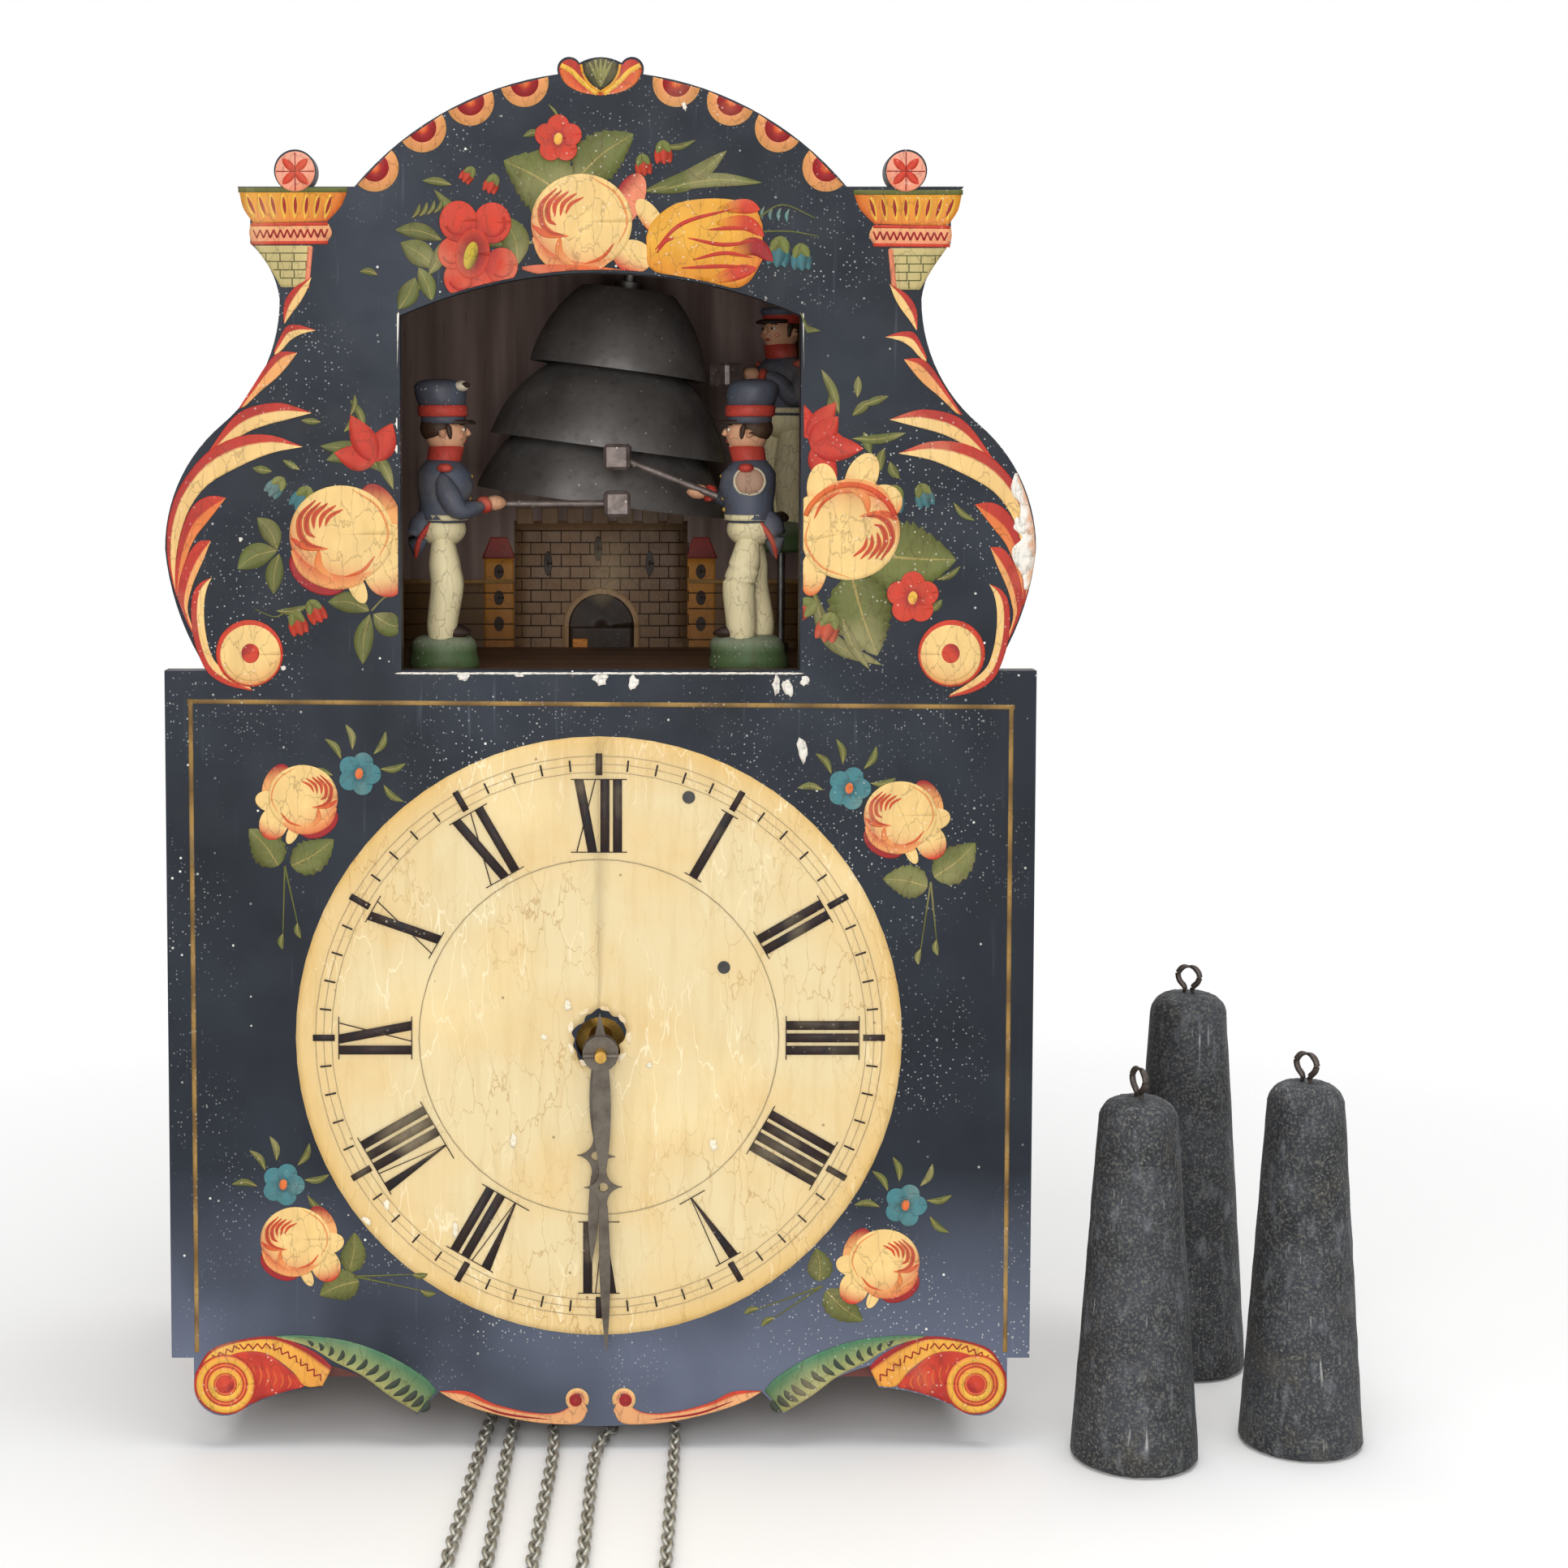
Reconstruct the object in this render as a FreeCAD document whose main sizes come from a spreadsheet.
"""Automaton shield clock: a painted shield with a figure stage, on a case that holds three trains.

Clock coordinates: x to the right of the clock's axis, y back from the shield's face, z up from the surface.
"""
import FreeCAD, Part
import math
import os
import re

from FreeCAD import Placement, Rotation, Vector

# Driving sizes: millimetres, degrees and counts
SIZES = {
    # shield
    "shield_width": 302, "shield_thick": 9, "shield_lift": 8, "apron_height": 24.6, "sill_height": 267.4,
    "arch_radius": 110.4, "arch_height": 472.6, "palmette_half": 14.4, "palmette_rise": 4.8,
    "capital_half": 124.3, "capital_drop": 39, "capital_tall": 19.3, "collar_half": 120, "collar_band": 6,
    "waist_half": 110.1, "waist_drop": 18.9, "bulge_half": 150.3, "bulge_height": 309.5,
    "crest_foot_half": 136, "finial_radius": 7.2, "finial_x": 104.5, "finial_rise": 5.4,
    "window_half": 69, "window_side": 122.3, "window_rise": 14.7,
    "apron_scroll_radius": 10.4, "apron_scroll_x": 132.8, "apron_scroll_height": 14,
    "apron_drop_half": 56.6, "apron_drop_rise": 12.7, "apron_leaf_x": 64.6, "apron_leaf_height": 4.2,
    "apron_notch_x": 95, "apron_notch_height": 21.8,
    "apron_step": 3, "apron_hollow": 2.8,
    "dial_hole_radius": 8.6, "dial_hole_height": 137.4, "batten_half": 116, "batten_height": 20,
    "batten_thick": 9,
    # case
    "case_half": 136, "case_board": 8, "case_depth": 160, "leg_setback": 42, "bottom_height": 26,
    "bottom_thick": 9,
    "stage_step": 4, "stage_floor_thick": 8, "stage_half": 103, "stage_board": 7, "stage_height": 158,
    "backdrop_depth": 154, "backdrop_thick": 4, "hanger_width": 34, "hanger_height": 52,
    "hanger_thick": 2.5,
    "hanger_rise": 16, "hanger_hole_radius": 4, "nail_head_radius": 2.2, "nail_head_rise": 0.5,
    "high_nail_x": 30.6, "high_nail_height": 223.3, "low_nail_x": 43, "low_nail_height": 163.6,
    "door_width": 78, "door_height": 150, "door_foot": 72, "door_front": 58, "door_thick": 5,
    "door_gap": 0.6,
    "door_pin_radius": 1.2, "door_pin_length": 5, "door_knob_radius": 4,
    # movement frame
    "plate_half": 44, "plate_thick": 6, "plate_front": 28, "bay_depth": 30, "fit": 0.05,
    "hand_height": 134.7,
    # trains
    "great_module": 1, "great_teeth": 60, "centre_leaves": 10, "fly_leaves": 10, "pivot_gap": 0.5,
    "centre_module": 0.7, "centre_teeth": 60, "third_leaves": 8, "third_angle": 60,
    "third_module": 0.6, "third_teeth": 64, "escape_leaves": 8, "escape_teeth": 42, "escape_radius": 9,
    "motion_module": 0.7, "cannon_leaves": 12, "minute_teeth": 36, "minute_leaves": 10, "hour_teeth": 40,
    "wheel_thick": 2, "great_thick": 3, "rim_width": 4, "escape_rim": 1.6, "escape_thick": 0.8,
    "arbor_radius": 1.5, "great_arbor_radius": 2.5, "hand_arbor_radius": 2, "cannon_radius": 3,
    "hour_pipe_radius": 4.2,
    "sprocket_radius": 19, "sprocket_gap": 0.35, "sprocket_flange": 1.6,
    "sprocket_place": 7, "great_place": 22, "pin_circle": 24, "pin_radius": 1.2, "pin_length": 3.4,
    "pin_count": 8,
    "vane_half": 9, "vane_length": 14, "vane_thick": 0.6,
    "anchor_rise": 14, "pallet_clear": 1, "anchor_thick": 1.6, "crutch_length": 54, "crutch_radius": 1,
    # hands
    "hand_thick": 1.2, "hand_gap": 1, "minute_reach": 107, "minute_star": 47.5, "minute_tail": 14,
    "hour_reach": 75, "hour_star": 37, "star_half": 7.4, "star_hole": 1.7, "hand_boss": 6.2,
    "minute_rest": 178.9, "hour_rest": 182.4, "collet_radius": 6.2, "collet_thick": 1.6,
    "collet_pin_radius": 0.8,
    "collet_pin_place": 6, "hand_arbor_end": 8,
    "hand_stand": 5, "stud_length": 11,
    # bells
    "bell_depth": 106, "bell_tilt": 7.5, "bell_wall": 2.2, "bell_tall": 31, "bell_low_radius": 48,
    "bell_middle_radius": 45.5, "bell_high_radius": 34, "bell_low_height": 331.4, "bell_middle_rise": 21,
    "bell_high_rise": 50.5, "stem_radius": 2.5, "nut_radius": 6, "nut_thick": 3,
    # figures
    "figure_height": 105, "cap_drop": 10, "figure_base_height": 12, "figure_base_half": 11.5,
    "figure_lift": 0.5,
    "pivot_radius": 1.5, "crank_radius": 1.2, "crank_drop": 10, "hammer_rod_radius": 1.3,
    "hammer_block": 9.5,
    "hammer_block_long": 11, "left_x": -57, "left_depth": 48, "left_turn": 2, "left_reach": 63,
    "left_hammer": 60,
    "right_x": 54, "right_depth": 48, "right_turn": 174.5, "right_reach": 48, "right_hammer": 64,
    "right_hammer_rise": 13,
    "rear_x": 71, "rear_depth": 125, "rear_turn": 220, "rear_reach": 29.5, "rear_hammer": 68.5,
    "rear_rise": 40,
    "crank_length": 18, "rear_crank_length": 26, "finger_place": 13, "rear_finger_place": 21,
    "lever_x": 38, "lever_height": 205, "rear_lever_x": 38, "rear_lever_height": 218, "lever_thick": 2,
    "lever_half": 1.5,
    "lever_gap": 0.8, "finger_long": 9, "tail_gap": 0.6,
    # weights
    "front_weight_x": 187, "front_weight_depth": -6, "front_weight_radius": 22, "front_weight_tall": 127,
    "side_weight_x": 249, "side_weight_depth": 8, "side_weight_radius": 21.5, "side_weight_tall": 129,
    "back_weight_x": 225, "back_weight_depth": 87, "back_weight_radius": 23, "back_weight_tall": 144,
    "weight_top_share": 0.62, "weight_shoulder": 8, "eye_radius": 4.2, "eye_wire": 0.9, "eye_stalk": 3,
    # chains
    "chain_width": 5.5, "chain_hole_radius": 5, "ring_radius": 6, "ring_wire": 1.1,
}

doc = FreeCAD.newDocument("shield_clock")
sheet = doc.addObject("Spreadsheet::Sheet", "Sizes")
for row, (alias, number) in enumerate(SIZES.items(), 1):
    sheet.set(f"A{row}", str(number))
    sheet.setAlias(f"A{row}", alias)
doc.recompute()


class Values:
    """Reads each driving size from the sheet by its name."""

    def __getattr__(self, alias):
        return float(sheet.get(alias))


v = Values()


def bound(text):
    """Turns size names in an expression into references to the sheet."""
    return re.sub(r"[a-z_]{2,}", lambda word: "Sizes." + word.group(), str(text))


# Levels and depths worked out from the driving sizes
ORIGIN_X = "(-(side_weight_x + side_weight_radius - shield_width / 2) / 2)"
BACK = "(backdrop_depth + backdrop_thick + hanger_thick)"
ORIGIN_Y = f"(-({BACK} - front_weight_radius + front_weight_depth) / 2)"
SILL = "(shield_lift + sill_height)"
STAGE = f"({SILL} - stage_step)"
STAGE_UNDER = f"({STAGE} - stage_floor_thick)"
HAND_Z = "(shield_lift + hand_height)"
BOTTOM_TOP = "(bottom_height + bottom_thick)"
sill_z = v.shield_lift + v.sill_height
stage_z = sill_z - v.stage_step
hand_z = v.shield_lift + v.hand_height
great_z = hand_z - v.great_module * (v.great_teeth + v.centre_leaves) / 2
fly_z = great_z + v.great_module * (v.great_teeth + v.fly_leaves) / 2
origin = Vector(-(v.side_weight_x + v.side_weight_radius - v.shield_width / 2) / 2,
                -(v.backdrop_depth + v.backdrop_thick + v.hanger_thick - v.front_weight_radius
                  + v.front_weight_depth) / 2, 0)
bay_step = v.plate_thick + v.bay_depth
PLATES = [v.plate_front + bay_step * k for k in range(4)]
BAYS = [plate + v.plate_thick for plate in PLATES[:3]]

nodes = []


def node(piece, label):
    """Names a finished sub-part."""
    piece.Label = label
    nodes.append(piece)
    return piece


def seat(piece, x="0", y="0", z="0", turn=None):
    """Seats a piece at clock coordinates given as expressions."""
    if turn is not None:
        piece.Placement = Placement(Vector(), turn)
    piece.setExpression("Placement.Base.x", bound(f"{ORIGIN_X} + {x}"))
    piece.setExpression("Placement.Base.y", bound(f"{ORIGIN_Y} + {y}"))
    piece.setExpression("Placement.Base.z", bound(z))
    return piece


def box(x0, x1, y0, y1, z0, z1):
    """Makes a board between two corners given as expressions."""
    board = doc.addObject("Part::Box", "board")
    board.setExpression("Length", bound(f"{x1} - ({x0})"))
    board.setExpression("Width", bound(f"{y1} - ({y0})"))
    board.setExpression("Height", bound(f"{z1} - ({z0})"))
    return seat(board, f"({x0})", f"({y0})", f"({z0})")


def rod(x, z, y0, y1, radius):
    """Makes a round rod that runs back from y0 to y1."""
    pin = doc.addObject("Part::Cylinder", "rod")
    pin.setExpression("Radius", bound(radius))
    pin.setExpression("Height", bound(f"{y1} - ({y0})"))
    return seat(pin, f"({x})", f"({y0})", f"({z})", Rotation(Vector(1, 0, 0), -90))


def post(x, y, z0, z1, radius):
    """Makes an upright round rod."""
    pin = doc.addObject("Part::Cylinder", "post")
    pin.setExpression("Radius", bound(radius))
    pin.setExpression("Height", bound(f"{z1} - ({z0})"))
    return seat(pin, f"({x})", f"({y})", f"({z0})")


def fuse(pieces):
    whole = doc.addObject("Part::MultiFuse", "whole")
    whole.Shapes = pieces
    whole.Refine = False
    return whole


def cut(base, tools):
    rest = doc.addObject("Part::Cut", "rest")
    rest.Base = base
    rest.Tool = tools[0] if len(tools) == 1 else fuse(tools)
    return rest


def group(pieces):
    """Holds separate solids in one node."""
    holder = doc.addObject("Part::Compound", "group")
    holder.Links = pieces
    return holder


def shaped(shape):
    """Makes a sub-part from a shape in clock coordinates."""
    piece = doc.addObject("Part::Feature", "shaped")
    piece.Shape = shape
    return seat(piece)


def plane(body, role):
    return next(feature for feature in body.Origin.OriginFeatures if feature.Role == role)


def draw(sketch, start, path):
    """Draws a closed outline: each step is an end point, or a point on an arc and its end point."""
    here = start
    for step in path:
        through = step[0] if isinstance(step[0], tuple) else None
        end = step[1] if through else step
        first, last = (Vector(*here, 0), Vector(*end, 0))
        if through:
            sketch.addGeometry(Part.Arc(first, Vector(*through, 0), last), False)
        else:
            sketch.addGeometry(Part.LineSegment(first, last), False)
        here = end


def flat_body(outlines, thickness):
    """Pads outlines in the upright plane back from the face by a thickness expression."""
    body = doc.addObject("PartDesign::Body", "flat")
    sketch = body.newObject("Sketcher::SketchObject", "outline")
    sketch.AttachmentSupport = [(plane(body, "XZ_Plane"), "")]
    sketch.MapMode = "FlatFace"
    for start, path in outlines:
        draw(sketch, start, path)
    pad = body.newObject("PartDesign::Pad", "thickness")
    pad.Profile = sketch
    pad.Reversed = True
    pad.setExpression("Length", bound(thickness))
    return body


def turned_body(start, path):
    """Revolves a half profile about the upright axis."""
    body = doc.addObject("PartDesign::Body", "turned")
    sketch = body.newObject("Sketcher::SketchObject", "profile")
    sketch.AttachmentSupport = [(plane(body, "XZ_Plane"), "")]
    sketch.MapMode = "FlatFace"
    draw(sketch, start, path)
    turn = body.newObject("PartDesign::Revolution", "turn")
    turn.Profile = sketch
    turn.ReferenceAxis = (sketch, ["V_Axis"])
    turn.Angle = 360
    return body


def mirrored(path, start):
    """Returns a right-hand path followed by its mirror image, from the left start back to it."""
    points = [(None, start)]
    points += [(step if isinstance(step[0], tuple) else (None, step)) for step in path]
    left = []
    for (through, _), (_, end) in zip(reversed(points[1:]), reversed(points[:-1])):
        flip_end = (-end[0], end[1])
        left.append(((-through[0], through[1]), flip_end) if through else flip_end)
    return list(path) + left


def circle_point(centre_x, centre_z, radius, degrees):
    angle = math.radians(degrees)
    return (centre_x + radius * math.cos(angle), centre_z + radius * math.sin(angle))


def ring_path(x, z, radius):
    """Returns a full circle as two arcs."""
    return (x + radius, z), [((x, z + radius), (x - radius, z)), ((x, z - radius), (x + radius, z))]


# Shield boards
def crest_board():
    foot = sill_z
    arch_centre = v.shield_lift + v.arch_height - v.arch_radius
    capital_z = v.shield_lift + v.arch_height - v.capital_drop
    collar_z = capital_z - v.capital_tall
    waist_z = collar_z - v.waist_drop
    bulge_z = v.shield_lift + v.bulge_height
    swing = v.bulge_half - v.waist_half
    middle = ((v.bulge_half + v.waist_half) / 2, (bulge_z + waist_z) / 2)
    radius = (swing ** 2 + (waist_z - bulge_z) ** 2) / (4 * swing)
    half_sweep = math.asin((waist_z - bulge_z) / 2 / radius) / 2
    low_via = (v.bulge_half - radius * (1 - math.cos(half_sweep)), bulge_z + radius * math.sin(half_sweep))
    high_via = (v.waist_half + radius * (1 - math.cos(half_sweep)), waist_z - radius * math.sin(half_sweep))
    foot_via = (v.bulge_half - 0.3 * (v.bulge_half - v.crest_foot_half), (foot + bulge_z) / 2)
    neck_via = (v.waist_half + 0.28 * (v.collar_half - v.waist_half), (waist_z + collar_z) / 2)
    flare_via = (v.collar_half + 0.3 * (v.capital_half - v.collar_half), capital_z - v.capital_tall / 4)
    arch_x = math.sqrt(v.arch_radius ** 2 - (capital_z - arch_centre) ** 2)
    crown = math.sqrt(v.arch_radius ** 2 - v.palmette_half ** 2) + arch_centre
    top = v.shield_lift + v.arch_height + v.palmette_rise
    finial_z = capital_z + v.finial_rise
    neck = math.sqrt(v.finial_radius ** 2 - (finial_z - capital_z) ** 2)
    arch_middle = math.degrees(math.atan2(capital_z - arch_centre, arch_x) +
                               math.atan2(crown - arch_centre, v.palmette_half)) / 2
    side_top = foot + v.window_side
    lip = v.palmette_rise / 5
    start = (v.window_half, foot)
    path = [
        (v.crest_foot_half, foot),
        (foot_via, (v.bulge_half, bulge_z)),
        (low_via, middle),
        (high_via, (v.waist_half, waist_z)),
        (neck_via, (v.collar_half, collar_z)),
        (v.collar_half, collar_z + v.collar_band),
        (flare_via, (v.capital_half, capital_z)),
        (v.finial_x + neck, capital_z),
        ((v.finial_x, finial_z + v.finial_radius), (v.finial_x - neck, capital_z)),
        (arch_x, capital_z),
        (circle_point(0, arch_centre, v.arch_radius, arch_middle), (v.palmette_half, crown)),
        ((v.palmette_half - lip, top - lip), (v.palmette_half / 2, top - 2 * lip)),
        ((v.palmette_half / 4, top - lip / 2), (0, top)),
    ]
    outer = mirrored(path, start)
    window = [
        (-v.window_half, side_top),
        ((0, side_top + v.window_rise), (v.window_half, side_top)),
        start,
    ]
    board = flat_body([(start, outer + window)], "shield_thick")
    node(seat(board), "crest_board")


def dial_board():
    half = v.shield_width / 2
    foot = v.shield_lift + v.apron_height
    hole_z = v.shield_lift + v.dial_hole_height
    outer = ((half, foot), [(half, sill_z), (-half, sill_z), (-half, foot), (half, foot)])
    board = flat_body([outer, ring_path(0, hole_z, v.dial_hole_radius)], "shield_thick")
    node(seat(board), "dial_board")


def apron_board():
    base = v.shield_lift
    top = base + v.apron_height
    scroll_z = base + v.apron_scroll_height
    radius = v.apron_scroll_radius
    drop = v.apron_drop_rise
    swing = (v.apron_drop_half ** 2 + drop ** 2) / (2 * drop)
    half_drop = v.apron_drop_half / 2
    right = v.apron_scroll_x + radius
    start = (0, base)
    path = [
        ((half_drop, base + swing - math.sqrt(swing ** 2 - half_drop ** 2)), (v.apron_drop_half,
                                                                              base + drop)),
        (v.apron_leaf_x, base + v.apron_leaf_height),
        (((v.apron_leaf_x + v.apron_notch_x) / 2, base + v.apron_notch_height * 0.72),
         (v.apron_notch_x, base + v.apron_notch_height)),
        (v.apron_notch_x + v.apron_step, scroll_z),
        (((v.apron_notch_x + v.apron_scroll_x) / 2, scroll_z - v.apron_hollow),
         (v.apron_scroll_x - 0.38 * radius, scroll_z - 0.92 * radius)),
        ((v.apron_scroll_x + radius * 0.7, scroll_z - radius * 0.7), (right, scroll_z)),
        (right, top),
        (0, top),
    ]
    board = flat_body([(start, mirrored(path, start))], "shield_thick")
    node(seat(board), "apron_board")


# Case
def case():
    back = "case_depth"
    inner = "(case_half - case_board)"
    batten_top = "(shield_lift + apron_height + batten_height / 2)"
    rail = box("-batten_half", "batten_half", "shield_thick", "shield_thick + batten_thick",
               f"{batten_top} - batten_height", batten_top)
    node(rail, "shield_batten")
    holes = []
    for bay in range(3):
        for side in (-1, 1):
            depth = f"(plate_front + plate_thick + sprocket_place + {bay} * (plate_thick + bay_depth))"
            holes.append(post(f"{side} * sprocket_radius", depth, "bottom_height - bottom_thick",
                              f"{BOTTOM_TOP} + bottom_thick",
                              "chain_hole_radius"))
    bottom = box(f"-{inner}", inner, "shield_thick + batten_thick", back, "bottom_height", BOTTOM_TOP)
    node(cut(bottom, holes), "case_bottom")
    floor_tools = []
    for name in ("left", "right", "rear"):
        floor_tools.append(post(f"{name}_x", f"{name}_depth", f"{STAGE_UNDER} - stage_floor_thick",
                                f"{STAGE} + stage_floor_thick", "pivot_radius + fit"))
    floor = box("-case_half", "case_half", "shield_thick", back, STAGE_UNDER, STAGE)
    node(cut(floor, floor_tools), "stage_floor")
    door_back = "(door_front + door_width)"
    door_top = "(door_foot + door_height)"
    for name, side in (("left", -1), ("right", 1)):
        near = f"{side} * case_half - {(1 + side) // 2} * case_board"
        far = f"{near} + case_board"
        panel = box(near, far, "shield_thick", back, "0", STAGE_UNDER)
        toe = box(near, far, "0", "shield_thick + leg_setback", "-bottom_thick",
                  f"{batten_top} - batten_height")
        doorway = box(near, far, "door_front - door_gap", f"{door_back} + door_gap", "door_foot - door_gap",
                      f"{door_top} + door_gap")
        pin_x = f"{side} * (case_half - case_board / 2)"
        pin_y = f"({door_back} - door_thick / 2)"
        sockets = post(pin_x, pin_y, "door_foot - door_pin_length - door_gap",
                       f"{door_top} + door_pin_length + door_gap", "door_pin_radius + fit")
        node(cut(panel, [toe, doorway, sockets]), f"case_side_{name}")
        leaf = box(f"{pin_x} - door_thick / 2", f"{pin_x} + door_thick / 2", "door_front", pin_y,
                   "door_foot", door_top)
        edge = post(pin_x, pin_y, "door_foot", door_top, "door_thick / 2")
        wire = post(pin_x, pin_y, "door_foot - door_pin_length", f"{door_top} + door_pin_length",
                    "door_pin_radius")
        knob = doc.addObject("Part::Sphere", "knob")
        knob.setExpression("Radius", bound("door_knob_radius"))
        seat(knob, f"{side} * (case_half + door_knob_radius / 2)", "door_front + 3 * door_knob_radius",
             "door_foot + door_height / 2")
        node(fuse([leaf, edge, wire, knob]), f"door_{name}")
    stage_top = f"({STAGE} + stage_height)"
    inside = "(stage_half - stage_board)"
    walls = []
    for side in (-1, 1):
        near = f"{side} * stage_half - {(1 + side) // 2} * stage_board"
        walls.append(box(near, f"{near} + stage_board", "shield_thick", "backdrop_depth + backdrop_thick",
                         STAGE, f"{stage_top} - stage_board"))
    node(group(walls), "stage_sides")
    lid = box("-stage_half", "stage_half", "shield_thick", "backdrop_depth + backdrop_thick",
              f"{stage_top} - stage_board", stage_top)
    node(cut(lid, [stem()]), "stage_top")
    scene = box(f"-{inside}", inside, "backdrop_depth", "backdrop_depth + backdrop_thick", STAGE,
                f"{stage_top} - stage_board")
    node(scene, "stage_backdrop")
    strap_back = "(backdrop_depth + backdrop_thick)"
    strap_top = f"({stage_top} + hanger_rise)"
    strap = box("-hanger_width / 2", "hanger_width / 2", strap_back, f"{strap_back} + hanger_thick",
                f"{strap_top} - hanger_height", strap_top)
    hole_z = f"({strap_top} - hanger_rise / 2)"
    hole = rod("0", hole_z, f"{strap_back} - hanger_thick", f"{strap_back} + 2 * hanger_thick",
               "hanger_hole_radius")
    node(cut(strap, [hole]), "hanger_plate")


def nails():
    """Adds the two small nail heads in the dial board that hold it to its case."""
    heads = []
    for name in ("high", "low"):
        heads.append(rod(f"{name}_nail_x", f"(shield_lift + {name}_nail_height)", "-nail_head_rise", "0",
                         "nail_head_radius"))
    node(group(heads), "shield_nails")


# Movement frame
def bearing(x, z, place, radius):
    """Makes a bearing hole through one plate."""
    return rod(x, z, PLATES[place] - v.plate_thick, PLATES[place] + 2 * v.plate_thick, f"{radius} + fit")


def plates():
    third_x, third_z = third_place()
    tools = {0: [], 1: [], 2: [], 3: []}
    spans = [
        (0, great_z, (0, 1), "great_arbor_radius"), (0, great_z, (2,), "great_arbor_radius"),
        (0, great_z, (3,), "great_arbor_radius"), (0, hand_z, (0, 1), "hand_arbor_radius"),
        (third_x, third_z, (0, 1), "arbor_radius"), (0, escape_place(), (0, 1), "arbor_radius"),
        (0, fly_z, (1, 2, 3), "hand_arbor_radius"), (0, escape_place() + v.anchor_rise, (0, 1, 2, 3),
                                                     "arbor_radius"),
        (-v.lever_x, v.lever_height, (0, 1, 2), "arbor_radius"), (v.lever_x, v.lever_height, (0, 1, 2),
                                                                  "arbor_radius"),
        (v.rear_lever_x, v.rear_lever_height, (2, 3), "arbor_radius"),
    ]
    for x, z, places, radius in spans:
        for place in places:
            tools[place].append(bearing(x, z, place, radius))
    names = ("front_plate", "second_plate", "third_plate", "back_plate")
    for place, name in enumerate(names):
        depth = f"(plate_front + {place} * (plate_thick + bay_depth))"
        strip = box("-plate_half", "plate_half", depth, f"{depth} + plate_thick", BOTTOM_TOP, STAGE_UNDER)
        if place == 0:
            stud_x, stud_z = minute_stud()
            stud = rod(stud_x, stud_z, f"{depth} - stud_length", depth, "arbor_radius")
            strip = fuse([strip, stud])
        node(cut(strip, tools[place]), name)


# Toothed wheels
WHEEL = ((-1.3, 0.44), (0.0, 0.42), (0.55, 0.31), (1.0, 0.10))
PINION = ((-1.45, 0.26), (0.0, 0.32), (0.4, 0.24), (0.7, 0.10))


def toothed(teeth, module, flanks, x, z, y0, y1, towards, gap=False):
    """Makes a toothed disc whose tooth, or gap, points at its mate's centre."""
    teeth = round(teeth)
    pitch = module * teeth / 2
    phase = math.atan2(towards[1] - z, towards[0] - x) + (math.pi / teeth if gap else 0)
    points = []
    for tooth in range(teeth):
        middle = phase + 2 * math.pi * tooth / teeth
        sides = [(rise, -share) for rise, share in flanks] + [(rise, share) for rise,
                                                              share in reversed(flanks)]
        for rise, share in sides:
            angle = middle + share * math.pi / teeth
            reach = pitch + rise * module
            points.append(Vector(x + reach * math.cos(angle), y0, z + reach * math.sin(angle)))
    points.append(points[0])
    return Part.Face(Part.makePolygon(points)).extrude(Vector(0, y1 - y0, 0))


def disc(x, z, y0, y1, radius):
    return Part.makeCylinder(radius, y1 - y0, Vector(x, y0, z), Vector(0, 1, 0))


def crossed(wheel, x, z, y0, y1, outer, hub):
    """Cuts the spaces between the four arms of a wheel."""
    space = disc(x, z, y0, y1, outer).cut(disc(x, z, y0, y1, hub))
    for turn in (0, 90):
        spoke = Part.makeBox(outer * 2, y1 - y0, hub * 0.8, Vector(-outer, y0, -hub * 0.4))
        spoke.rotate(Vector(), Vector(0, 1, 0), turn)
        spoke.translate(Vector(x, 0, z))
        space = space.cut(spoke)
    return wheel.cut(space)


def third_place():
    reach = v.centre_module * (v.centre_teeth + v.third_leaves) / 2
    angle = math.radians(v.third_angle)
    return reach * math.cos(angle), hand_z + reach * math.sin(angle)


def escape_place():
    third_x, third_z = third_place()
    reach = v.third_module * (v.third_teeth + v.escape_leaves) / 2
    return third_z + math.sqrt(reach ** 2 - third_x ** 2)


def minute_stud():
    return -v.motion_module * (v.minute_teeth + v.cannon_leaves) / 2, hand_z


def pivots(bay):
    """Returns where an arbor that shares its plates' holes starts and ends: half way into each plate."""
    half = v.plate_thick / 2
    return PLATES[bay] + half + v.pivot_gap, PLATES[bay + 1] + half - v.pivot_gap


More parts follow.
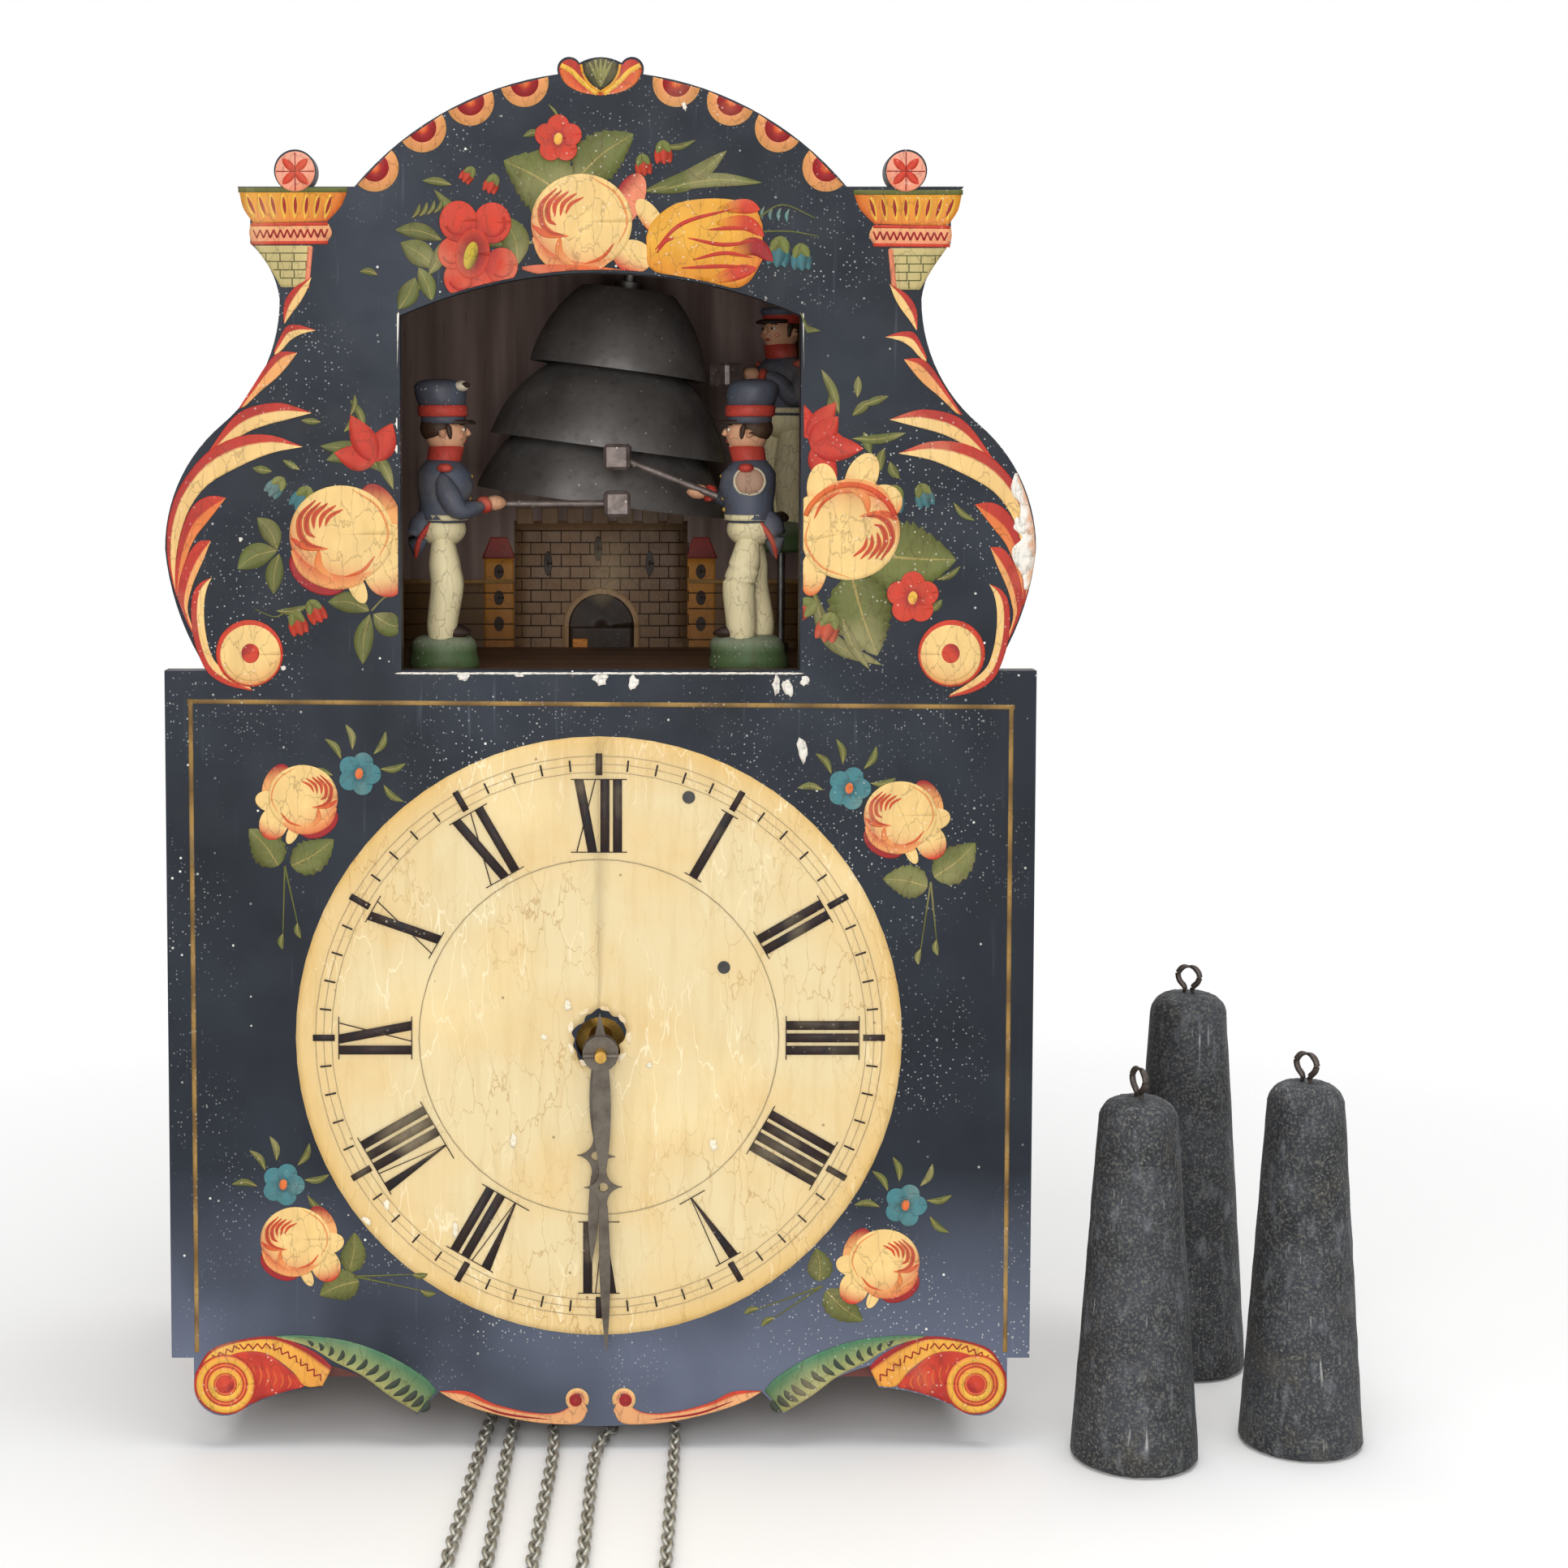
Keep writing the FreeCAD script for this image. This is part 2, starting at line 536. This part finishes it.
def great_wheel(name, bay, mate_z, pins):
    """Makes one great wheel with its chain wheel, on its arbor."""
    front = BAYS[bay]
    y0 = front + v.great_place
    y1 = y0 + v.great_thick
    pitch = v.great_module * v.great_teeth / 2
    wheel = toothed(v.great_teeth, v.great_module, WHEEL, 0, great_z, y0, y1, (0, mate_z))
    wheel = crossed(wheel, 0, great_z, y0, y1, pitch - v.rim_width - 3, 3 * v.great_arbor_radius)
    chain_y = front + v.sprocket_place
    tube = v.chain_width / 2
    core = v.sprocket_radius - tube - v.sprocket_gap
    drum = disc(0, great_z, chain_y - tube - v.sprocket_gap, y0, core)
    drum = drum.cut(disc(0, great_z, chain_y + tube + v.sprocket_gap + v.sprocket_flange, y0, core).cut(
        disc(0, great_z, chain_y, y0, 3 * v.great_arbor_radius)))
    for side in (-1, 1):
        inner = chain_y + side * (tube + v.sprocket_gap)
        outer = inner + side * v.sprocket_flange
        drum = drum.fuse(disc(0, great_z, min(inner, outer), max(inner, outer), v.sprocket_radius))
    wheel = wheel.fuse(drum)
    if pins:
        for pin in range(round(v.pin_count)):
            x, z = circle_point(0, great_z, v.pin_circle, 360 * (pin + 0.5) / v.pin_count)
            wheel = wheel.fuse(disc(x, z, y1 - 1, y1 + v.pin_length, v.pin_radius))
    wheel = wheel.cut(disc(0, great_z, front, y1 + 1, v.great_arbor_radius))
    arbor = disc(0, great_z, *pivots(bay), v.great_arbor_radius)
    node(shaped(wheel), f"{name}_great_wheel")
    node(shaped(arbor), f"{name}_arbor")


def going_train():
    front = BAYS[0]
    third_x, third_z = third_place()
    escape_z = escape_place()
    great_wheel("going", 0, hand_z, False)
    great_y = front + v.great_place
    bore = v.hand_arbor_radius
    pinion = toothed(v.centre_leaves, v.great_module, PINION, 0, hand_z, great_y - 3, great_y + 6,
                     (0, great_z), True)
    arbor = disc(0, hand_z, -v.hand_stand - v.hand_arbor_end, pivots(0)[1], bore).fuse(pinion)
    pin_hole = Part.makeCylinder(v.collet_pin_radius, 2 * v.collet_radius,
                                 Vector(-v.collet_radius, -v.hand_stand - v.collet_pin_place, hand_z),
                                 Vector(1, 0, 0))
    arbor = arbor.cut(pin_hole)
    y0 = great_y - 8
    y1 = y0 + v.wheel_thick
    pitch = v.centre_module * v.centre_teeth / 2
    wheel = toothed(v.centre_teeth, v.centre_module, WHEEL, 0, hand_z, y0, y1, (third_x, third_z))
    wheel = crossed(wheel, 0, hand_z, y0, y1, pitch - v.rim_width, 3 * bore)
    node(shaped(arbor.fuse(wheel)), "centre_wheel")
    pinion = toothed(v.third_leaves, v.centre_module, PINION, third_x, third_z, y0 - 3, y1 + 2, (0, hand_z),
                     True)
    arbor = disc(third_x, third_z, PLATES[0] + 1, PLATES[1] + v.plate_thick - 1, v.arbor_radius)
    third_y = y0 - 8
    pitch = v.third_module * v.third_teeth / 2
    wheel = toothed(v.third_teeth, v.third_module, WHEEL, third_x, third_z, third_y,
                    third_y + v.wheel_thick, (0, escape_z))
    wheel = crossed(wheel, third_x, third_z, third_y, third_y + v.wheel_thick, pitch - v.rim_width,
                    3 * v.arbor_radius)
    node(shaped(arbor.fuse(pinion).fuse(wheel)), "third_wheel")
    pinion = toothed(v.escape_leaves, v.third_module, PINION, 0, escape_z, third_y - 2,
                     third_y + v.wheel_thick + 2,
                     (third_x, third_z), True)
    arbor = disc(0, escape_z, PLATES[0] + 1, PLATES[1] + v.plate_thick - 1, v.arbor_radius)
    node(shaped(arbor.fuse(pinion).fuse(escape_wheel(escape_z, great_y))), "escape_wheel")
    node(shaped(anchor(escape_z, great_y)), "anchor")


def escape_wheel(z, y0):
    """Makes the escape wheel with raked teeth."""
    teeth = round(v.escape_teeth)
    points = []
    for tooth in range(teeth):
        for turn, reach in ((0, v.escape_radius), (0.35, v.escape_radius - 1), (0.75, v.escape_radius - 1)):
            x, height = circle_point(0, z, reach, 360 * (tooth + turn) / teeth)
            points.append(Vector(x, y0, height))
    points.append(points[0])
    wheel = Part.Face(Part.makePolygon(points)).extrude(Vector(0, v.escape_thick, 0))
    return crossed(wheel, 0, z, y0, y0 + v.escape_thick, v.escape_radius - 1 - v.escape_rim,
                   2 * v.arbor_radius)


def anchor(escape_z, y0):
    """Makes the anchor, its arbor and the crutch behind the back plate."""
    z = escape_z + v.anchor_rise
    reach = v.escape_radius + v.pallet_clear
    points = []
    for side in (1, -1):
        corner = circle_point(0, escape_z, reach, 45)
        outer = circle_point(0, escape_z, reach + 3, 45)
        pair = [corner, outer] if side == 1 else [outer, corner]
        points += [Vector(side * x, y0, height) for x, height in pair]
        if side == 1:
            points.append(Vector(0, y0, z + 4))
    points.append(Vector(0, y0, escape_z + reach + 1))
    points.append(points[0])
    plate = Part.Face(Part.makePolygon(points)).extrude(Vector(0, v.anchor_thick, 0))
    rear = PLATES[3] + v.plate_thick
    arbor = disc(0, z, PLATES[0] + 1, rear + 6, v.arbor_radius)
    crutch = Part.makeCylinder(v.crutch_radius, v.crutch_length, Vector(0, rear + 4, z), Vector(0, 0, -1))
    foot = Part.makeCylinder(v.crutch_radius, 8, Vector(0, rear + 3, z - v.crutch_length), Vector(0, 1, 0))
    return arbor.fuse(plate).fuse(crutch).fuse(foot)


def motion_work():
    """Makes the wheels behind the dial that turn the hour hand once for twelve turns of the minute hand."""
    stud_x, stud_z = minute_stud()
    plate = PLATES[0]
    hour_module = v.motion_module * (v.minute_teeth + v.cannon_leaves) / (v.hour_teeth + v.minute_leaves)
    cannon_y = plate - 6
    front = -v.hand_stand
    cannon = toothed(v.cannon_leaves, v.motion_module, PINION, 0, hand_z, cannon_y, plate - 1, (stud_x,
                                                                                                stud_z),
                                                                                                True)
    cannon = cannon.fuse(disc(0, hand_z, front - v.hand_gap, cannon_y, v.cannon_radius))
    node(shaped(cannon.cut(disc(0, hand_z, front - v.hand_arbor_end, plate, v.hand_arbor_radius))),
         "cannon_pinion")
    wheel_y = plate - 4
    wheel = toothed(v.minute_teeth, v.motion_module, WHEEL, stud_x, stud_z, wheel_y,
                    wheel_y + v.wheel_thick, (0, hand_z))
    small = toothed(v.minute_leaves, hour_module, PINION, stud_x, stud_z, wheel_y - 6, wheel_y, (0, hand_z),
                    True)
    bore = disc(stud_x, stud_z, wheel_y - 7, plate, v.arbor_radius + v.fit)
    node(shaped(wheel.fuse(small).cut(bore)), "minute_wheel")
    hour_y = wheel_y - 5
    hour = toothed(v.hour_teeth, hour_module, WHEEL, 0, hand_z, hour_y, hour_y + v.wheel_thick, (stud_x,
                                                                                                 stud_z))
    hour = hour.fuse(disc(0, hand_z, front + v.hand_gap, hour_y, v.hour_pipe_radius))
    bore = disc(0, hand_z, front, plate, v.cannon_radius + v.fit)
    node(shaped(hour.cut(bore)), "hour_wheel")


# Hands
def hand(reach, star, tail, bore, depth, angle, label):
    """Makes a pierced hand, drawn pointing up and turned clockwise from twelve."""
    half = v.star_half
    waist = half * 0.2
    start = (v.hand_boss * 0.45, v.hand_boss * 0.9)
    right = [
        ((half * 0.42, star * 0.5), (waist, star - half)),
        ((waist * 1.6, star - waist * 1.6), (half, star)),
        ((waist * 1.6, star + waist * 1.6), (waist, star + half)),
        ((waist * 1.3, (star + reach) / 2), (0, reach)),
    ]
    path = mirrored(right, start)
    if tail:
        path += [((-v.hand_boss, 0), (-2, -v.hand_boss * 0.9)), (0, -tail), (2, -v.hand_boss * 0.9),
                 ((v.hand_boss, 0), start)]
    else:
        path += [((0, -v.hand_boss), start)]
    outlines = [(start, path), ring_path(0, star, v.star_hole), ring_path(0, 0, bore)]
    body = flat_body(outlines, "hand_thick")
    seat(body, "0", depth, HAND_Z, Rotation(Vector(0, 1, 0), angle))
    node(body, label)


def hands():
    hand(v.hour_reach, v.hour_star, 0, v.hour_pipe_radius, "(hand_gap - hand_stand)", v.hour_rest,
         "hour_hand")
    hand(v.minute_reach, v.minute_star, v.minute_tail, v.cannon_radius, "(-hand_stand - hand_gap)",
         v.minute_rest,
         "minute_hand")
    front = "(-hand_stand - hand_gap - collet_thick)"
    washer = rod("0", HAND_Z, front, "-hand_stand - hand_gap", "collet_radius")
    washer = cut(washer, [rod("0", HAND_Z, f"{front} - 1", "0", "hand_arbor_radius")])
    pin = doc.addObject("Part::Cylinder", "pin")
    pin.setExpression("Radius", bound("collet_pin_radius - fit"))
    pin.setExpression("Height", bound("2 * collet_radius"))
    seat(pin, "-collet_radius", "-hand_stand - collet_pin_place", HAND_Z, Rotation(Vector(0, 1, 0), 90))
    node(group([washer, pin]), "hand_collet")


# Striking and figure trains
def striking_train(name, bay):
    great_wheel(name, bay, fly_z, True)
    front = BAYS[bay]
    great_y = front + v.great_place
    pinion = toothed(v.fly_leaves, v.great_module, PINION, 0, fly_z, great_y - 1.5,
                     great_y + v.great_thick + 1.5,
                     (0, great_z), True)
    arbor = disc(0, fly_z, *pivots(bay), v.hand_arbor_radius)
    vane = Part.makeBox(2 * v.vane_half, v.vane_length, v.vane_thick,
                        Vector(-v.vane_half, front + 3, fly_z - v.vane_thick / 2))
    node(shaped(arbor.fuse(pinion).fuse(vane)), f"{name}_fly")


def bar(x0, z0, x1, z1, y, half):
    """Makes a flat bar between two points in an upright plane."""
    along = Vector(x1 - x0, 0, z1 - z0)
    across = Vector(-along.z, 0, along.x).normalize() * half
    corners = [Vector(x0, y, z0) + across, Vector(x1, y, z1) + across, Vector(x1, y, z1) - across,
               Vector(x0, y, z0) - across]
    return Part.Face(Part.makePolygon(corners + corners[:1])).extrude(Vector(0, v.lever_thick, 0))


def lever(name, x, z, first, last, finger_y, tail_y, figure_x, side):
    """Makes a lifting lever: an arbor, a finger beside a crank and a tail beside the lifting pins."""
    crank_z = stage_z - v.stage_floor_thick - v.crank_drop
    finger_x = figure_x + side * (v.crank_radius + v.lever_gap + v.lever_half)
    tail_reach = v.pin_circle + v.pin_radius + v.tail_gap + v.lever_half
    tail_side = math.copysign(1, x)
    tail_x, tail_z = circle_point(0, great_z, tail_reach, 25)
    start = PLATES[first] + 1
    end = PLATES[last] + v.plate_thick - 1 if last < 3 else finger_y + v.lever_thick
    arbor = disc(x, z, start, end, v.arbor_radius)
    knee_z = crank_z + v.crank_radius - v.finger_long
    arm = bar(x, z, finger_x, knee_z, finger_y, v.lever_half)
    finger = bar(finger_x, knee_z - v.lever_half, finger_x, crank_z + v.crank_radius, finger_y,
                 v.lever_half)
    tail = bar(x, z, tail_side * tail_x, tail_z, tail_y, v.lever_half)
    hubs = [disc(x, z, y, y + v.lever_thick, 2 * v.arbor_radius) for y in (finger_y, tail_y)]
    node(shaped(arbor.multiFuse([arm, finger, tail] + hubs)), f"{name}_lever")


def levers():
    pins_y = v.great_place + v.great_thick + 1
    lever("left", -v.lever_x, v.lever_height, 0, 2, v.left_depth + v.finger_place - v.lever_thick / 2,
          BAYS[1] + pins_y, v.left_x, -1)
    lever("right", v.lever_x, v.lever_height, 0, 2, v.right_depth + v.finger_place - v.lever_thick / 2,
          BAYS[1] + pins_y, v.right_x, 1)
    lever("rear", v.rear_lever_x, v.rear_lever_height, 2, 3,
          v.rear_depth + v.rear_finger_place - v.lever_thick / 2,
          BAYS[2] + pins_y, v.rear_x, 1)


# Bells
def stem():
    """Makes the bells' stem, square to their rims, up through the stage's top."""
    rise = stage_z + v.stage_height + v.nut_thick - v.bell_low_height
    length = rise / math.cos(math.radians(v.bell_tilt))
    pin = doc.addObject("Part::Cylinder", "stem")
    pin.setExpression("Radius", bound("stem_radius"))
    pin.Height = length - v.bell_tall * 0.5
    pin.Placement = Placement(bell_point(v.bell_tall * 0.5), bell_turn())
    return pin


def bell_turn():
    return Rotation(Vector(0, 1, 0), v.bell_tilt)


def bell_point(rise):
    """Returns a point on the bells' axis, in the part's frame."""
    return origin + Vector(0, v.bell_depth, v.bell_low_height) + bell_turn().multVec(Vector(0, 0, rise))


def bell(label, radius, rise):
    """Turns one bell: a flaring bowl with a flat crown and a hole for the stem."""
    tall = v.bell_tall
    wall = v.bell_wall
    crown = radius * 0.52
    start = (v.stem_radius, tall - wall)
    path = [
        (crown - wall, tall - wall),
        ((radius * 0.74 - wall, tall * 0.62), (radius - wall, 0)),
        (radius, 0),
        ((radius * 0.77, tall * 0.68), (crown, tall)),
        (v.stem_radius, tall),
        start,
    ]
    body = turned_body(start, path)
    body.Placement = Placement(bell_point(rise), bell_turn())
    node(body, label)


def bells():
    rises = (0, v.bell_middle_rise, v.bell_high_rise)
    radii = (v.bell_low_radius, v.bell_middle_radius, v.bell_high_radius)
    for label, radius, rise in zip(("bell_low", "bell_middle", "bell_high"), radii, rises):
        bell(label, radius, rise)
    pieces = [stem()]
    for rise in rises:
        for place in (rise + v.bell_tall, rise + v.bell_tall - v.bell_wall - v.nut_thick):
            nut = doc.addObject("Part::Cylinder", "nut")
            nut.setExpression("Radius", bound("nut_radius"))
            nut.setExpression("Height", bound("nut_thick"))
            nut.Placement = Placement(bell_point(place), bell_turn())
            pieces.append(nut)
    node(fuse(pieces), "bell_stem")


# Figures
def limb(start, end, r0, r1):
    """Makes a tapered limb in a figure's own frame."""
    first, last = Vector(*start), Vector(*end)
    return Part.makeCone(r0, r1, (last - first).Length, first, last - first)


def figure_shape(hammer_z, hat_top):
    """Builds a carved figure that looks along its own +x, on a round base."""
    base = v.figure_base_height
    unit = (v.figure_height - base) / 93
    hip = base + 42 * unit
    neck = base + 62 * unit
    hat_z = neck + 14 * unit
    shape = Part.makeCylinder(v.figure_base_half, base)
    for side in (-1, 1):
        shape = shape.fuse(limb((0, side * 3.6 * unit, base - 1), (0, side * 3.6 * unit, hip), 3.8 * unit,
                                4.9 * unit))
        shoe = Part.makeBox(11 * unit, 5.6 * unit, 4 * unit, Vector(-3.6 * unit, (side * 3.7 - 2.8) * unit,
                                                                    base - 1))
        hand_at = (17 * unit, side * 1.5 * unit, hammer_z)
        elbow = (5 * unit, side * 8.8 * unit, neck - 19 * unit)
        upper = limb((-0.5 * unit, side * 7.6 * unit, neck - 5 * unit), elbow, 3.7 * unit, 3.3 * unit)
        shape = shape.multiFuse([shoe, upper, limb(elbow, hand_at, 3.2 * unit, 2.6 * unit)])
    coat = limb((-1 * unit, 0, hip - 8 * unit), (0, 0, neck - 1 * unit), 8.4 * unit, 7.4 * unit)
    collar = limb((0, 0, neck - 2 * unit), (0, 0, neck + 7 * unit), 5.4 * unit, 6 * unit)
    head = Part.makeSphere(6.6 * unit, Vector(1 * unit, 0, neck + 9.5 * unit))
    hat = limb((-0.4 * unit, 0, hat_z), (-0.8 * unit, 0, hat_top), 7.2 * unit, 8.2 * unit)
    peak = Part.makeCylinder(7.2 * unit, 1.4 * unit, Vector(2.6 * unit, 0, hat_z - 0.6 * unit))
    return shape.multiFuse([coat, collar, head, hat, peak])


def figure(name, base_z, hat_top, rise):
    """Makes one striking figure, its hammer and its pivot with the crank below the stage floor."""
    x, y = getattr(v, f"{name}_x"), getattr(v, f"{name}_depth")
    turn = Rotation(Vector(0, 0, 1), getattr(v, f"{name}_turn"))
    hammer_z, reach = getattr(v, f"{name}_hammer"), getattr(v, f"{name}_reach")
    head_z = hammer_z + rise
    start = Vector(v.figure_base_half, 0, hammer_z - rise * 0.1)
    end = Vector(reach, 0, head_z)
    rod_shape = Part.makeCylinder(v.hammer_rod_radius, (end - start).Length, start, end - start)
    block = Part.makeBox(v.hammer_block, v.hammer_block_long, v.hammer_block,
                         Vector(reach - v.hammer_block / 2, -v.hammer_block_long / 2,
                                head_z - v.hammer_block / 2))
    hammer = rod_shape.fuse(block.makeChamfer(1.2, block.Edges))
    drop = base_z - stage_z + v.stage_floor_thick + v.crank_drop + v.crank_radius + 1
    pivot = Part.makeCylinder(v.pivot_radius, drop + 8, Vector(0, 0, -drop))
    collar = Part.makeCylinder(2 * v.pivot_radius, v.figure_lift if name != "rear" else 4,
                               Vector(0, 0, stage_z - base_z))
    carved = figure_shape(hammer_z, hat_top).cut(hammer).cut(pivot)
    length = v.rear_crank_length if name == "rear" else v.crank_length
    crank_z = stage_z - v.stage_floor_thick - v.crank_drop - base_z
    crank = Part.makeCylinder(v.crank_radius, length, Vector(0, 0, crank_z),
                              turn.inverted().multVec(Vector(0, 1, 0)))
    pivot = pivot.fuse(collar).fuse(crank)
    for shape, label in ((carved, f"{name}_figure"), (hammer, f"{name}_hammer"), (pivot, f"{name}_pivot")):
        piece = doc.addObject("Part::Feature", "figure")
        piece.Shape = shape
        piece.Placement = Placement(origin + Vector(x, y, base_z), turn)
        node(piece, label)


def figures():
    figure("left", stage_z + v.figure_lift, v.figure_height, 0)
    figure("right", stage_z + v.figure_lift, v.figure_height, v.right_hammer_rise)
    figure("rear", stage_z + v.rear_rise, v.figure_height - v.cap_drop, 0)


# Weights
def weights():
    for name in ("front", "side", "back"):
        radius, tall = getattr(v, f"{name}_weight_radius"), getattr(v, f"{name}_weight_tall")
        top = radius * v.weight_top_share
        round_in = v.weight_shoulder
        start = (0, 0)
        path = [(radius - 1.5, 0), ((radius - 0.45, 0.45), (radius, 1.5)), (top, tall - round_in),
                ((top - round_in * 0.3, tall - round_in * 0.3), (top - round_in, tall)), (0, tall), start]
        body = turned_body(start, path)
        body.Label = f"{name}_casting"
        eye_z = tall + v.eye_stalk + v.eye_radius
        eye = doc.addObject("Part::Torus", "eye")
        eye.setExpression("Radius1", bound("eye_radius"))
        eye.setExpression("Radius2", bound("eye_wire"))
        eye.Placement = Placement(Vector(0, 0, eye_z), Rotation(Vector(1, 0, 0), 90))
        stalk = doc.addObject("Part::Cylinder", "stalk")
        stalk.setExpression("Radius", bound("2 * eye_wire"))
        stalk.setExpression("Height", bound("eye_stalk + eye_wire"))
        stalk.Placement = Placement(Vector(0, 0, tall), Rotation())
        whole = group([body, fuse([eye, stalk])])
        node(seat(whole, f"{name}_weight_x", f"{name}_weight_depth", "0"), f"{name}_weight")


# Chains: each strand drops from its chain wheel and lies forward on the surface to its end
ROUTES = {
    "going_chain": ([(-15.6, 2), (-18.6, -52), (-21.8, -106)], [(-1.5, 4), (-3.6, -51), (-6, -106)]),
    "strike_chain": ([(-30, 34), (-32.8, -14), (-34.1, -60), (-36, -106)],
                     [(27.6, 36), (25.6, -14), (23, -60), (20.2, -106)]),
    "figure_chain": ([(-35, 72), (-39.4, 24), (-43, -22), (-45.8, -64), (-48.8, -106)], []),
}


def rounded(points):
    """Joins points by straight runs and tangent arcs as large as the runs allow, and prints their radii."""
    edges, radii = [], []
    here = points[0]
    for before, corner, after in zip(points, points[1:], points[2:]):
        inward, outward = (before - corner), (after - corner)
        shorter = min(inward.Length, outward.Length)
        inward.normalize()
        outward.normalize()
        turn = math.pi - inward.getAngle(outward)
        radius = 0.45 * shorter / math.tan(turn / 2)
        first, last = corner + inward * 0.45 * shorter, corner + outward * 0.45 * shorter
        middle = corner + (inward + outward).normalize() * radius * (1 / math.cos(turn / 2) - 1)
        edges += [Part.LineSegment(here, first).toShape(), Part.Arc(first, middle, last).toShape()]
        radii.append(round(radius, 1))
        here = last
    edges.append(Part.LineSegment(here, points[-1]).toShape())
    return edges, radii


def tube(edges, label):
    """Sweeps the chain's round envelope and compares its volume with section times length."""
    path = Part.Wire(Part.__sortEdges__(edges))
    start = path.Edges[0].valueAt(path.Edges[0].FirstParameter)
    along = path.Edges[0].tangentAt(path.Edges[0].FirstParameter)
    radius = v.chain_width / 2
    section = Part.Wire(Part.makeCircle(radius, start, along))
    shape = path.makePipeShell([section], True, False)
    expected = math.pi * radius ** 2 * path.Length
    print(label, "length", round(path.Length, 1), "volume share", round(shape.Volume / expected, 4))
    return shape


def chains():
    rest = v.chain_width / 2 + 2 * v.fit
    rings = []
    for front, (label, routes) in zip(BAYS, ROUTES.items()):
        depth = front + v.sprocket_place
        r = v.sprocket_radius
        strands = []
        for side, route in zip((-1, 1), routes):
            points = [Vector(side * r, depth, great_z)]
            if route:
                points.append(Vector(side * r, depth, rest))
                points += [Vector(x, y, rest) for x, y in route]
            strands.append(points)
        left_edges, left_radii = rounded(strands[0])
        crown = Vector(0, depth, great_z + r)
        over = Part.Arc(strands[0][0], crown, strands[1][0]).toShape()
        if len(strands[1]) > 1:
            right_edges, right_radii = rounded(strands[1])
        else:
            hang = v.bottom_height + v.bottom_thick + v.ring_radius
            right_edges = [Part.LineSegment(strands[1][0], Vector(r, depth, hang)).toShape()]
            right_radii = []
        print(label, "radii", left_radii + right_radii)
        node(shaped(tube(left_edges + [over] + right_edges, label)), label)
        for points in strands:
            if len(points) > 1:
                end, before = points[-1], points[-2]
                along = (end - before).normalize()
                centre = end + along * (v.ring_radius + v.ring_wire + v.fit)
                centre.z = v.ring_wire
                rings.append(Part.makeTorus(v.ring_radius, v.ring_wire, centre, Vector(0, 0, 1)))
    node(shaped(Part.makeCompound(rings)), "chain_rings")


crest_board()
dial_board()
apron_board()
case()
nails()
plates()
going_train()
motion_work()
hands()
striking_train("strike", 1)
striking_train("figure", 2)
levers()
bells()
figures()
weights()
chains()

doc.recompute()
for piece in doc.Objects:
    if "Invalid" in piece.State or "Error" in piece.State:
        raise RuntimeError(f"{piece.Label} failed: {piece.State}")
os.makedirs("parts", exist_ok=True)
for piece in nodes:
    if piece.Shape.isNull() or not piece.Shape.isValid():
        raise RuntimeError(f"{piece.Label} has no valid shape")
for piece in nodes:
    piece.Shape.exportStep(f"parts/{piece.Label}.step")
print(len(nodes), "nodes")
